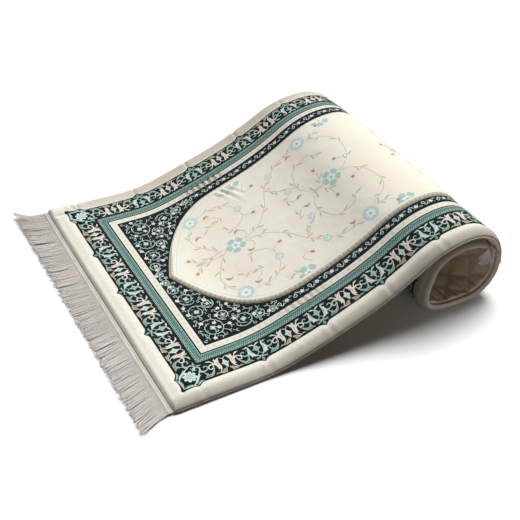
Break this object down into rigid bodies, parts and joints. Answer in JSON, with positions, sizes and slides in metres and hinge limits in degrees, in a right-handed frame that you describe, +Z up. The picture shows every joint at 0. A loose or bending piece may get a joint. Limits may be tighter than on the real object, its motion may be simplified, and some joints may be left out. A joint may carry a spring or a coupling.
{
  "type": "prayer rug",
  "caption": "Padded prayer rug with an arched niche, a scalloped print edge and end fringes, lying flat at its fringed start and loosely rolled under beyond its crest.",
  "frame": {"origin": "middle of the whole shape's footprint, on the surface that the rug lies on", "axes": "+X along the rug from the flat end's fringe to the roll, +Y across it to the side with the lifted corner, +Z up"},
  "size_m": [0.7354, 0.6307, 0.1663],
  "materials": {
    "printed_cloth": "soft short-pile printed cloth",
    "quilted_cloth": "matt quilted cloth",
    "yarn": "matt twisted yarn"
  },
  "bodies": {
    "root": {"padded_face": "printed_cloth", "backing": "quilted_cloth", "front_fringe": "yarn", "rolled_fringe": "yarn"}
  },
  "joints": []
}
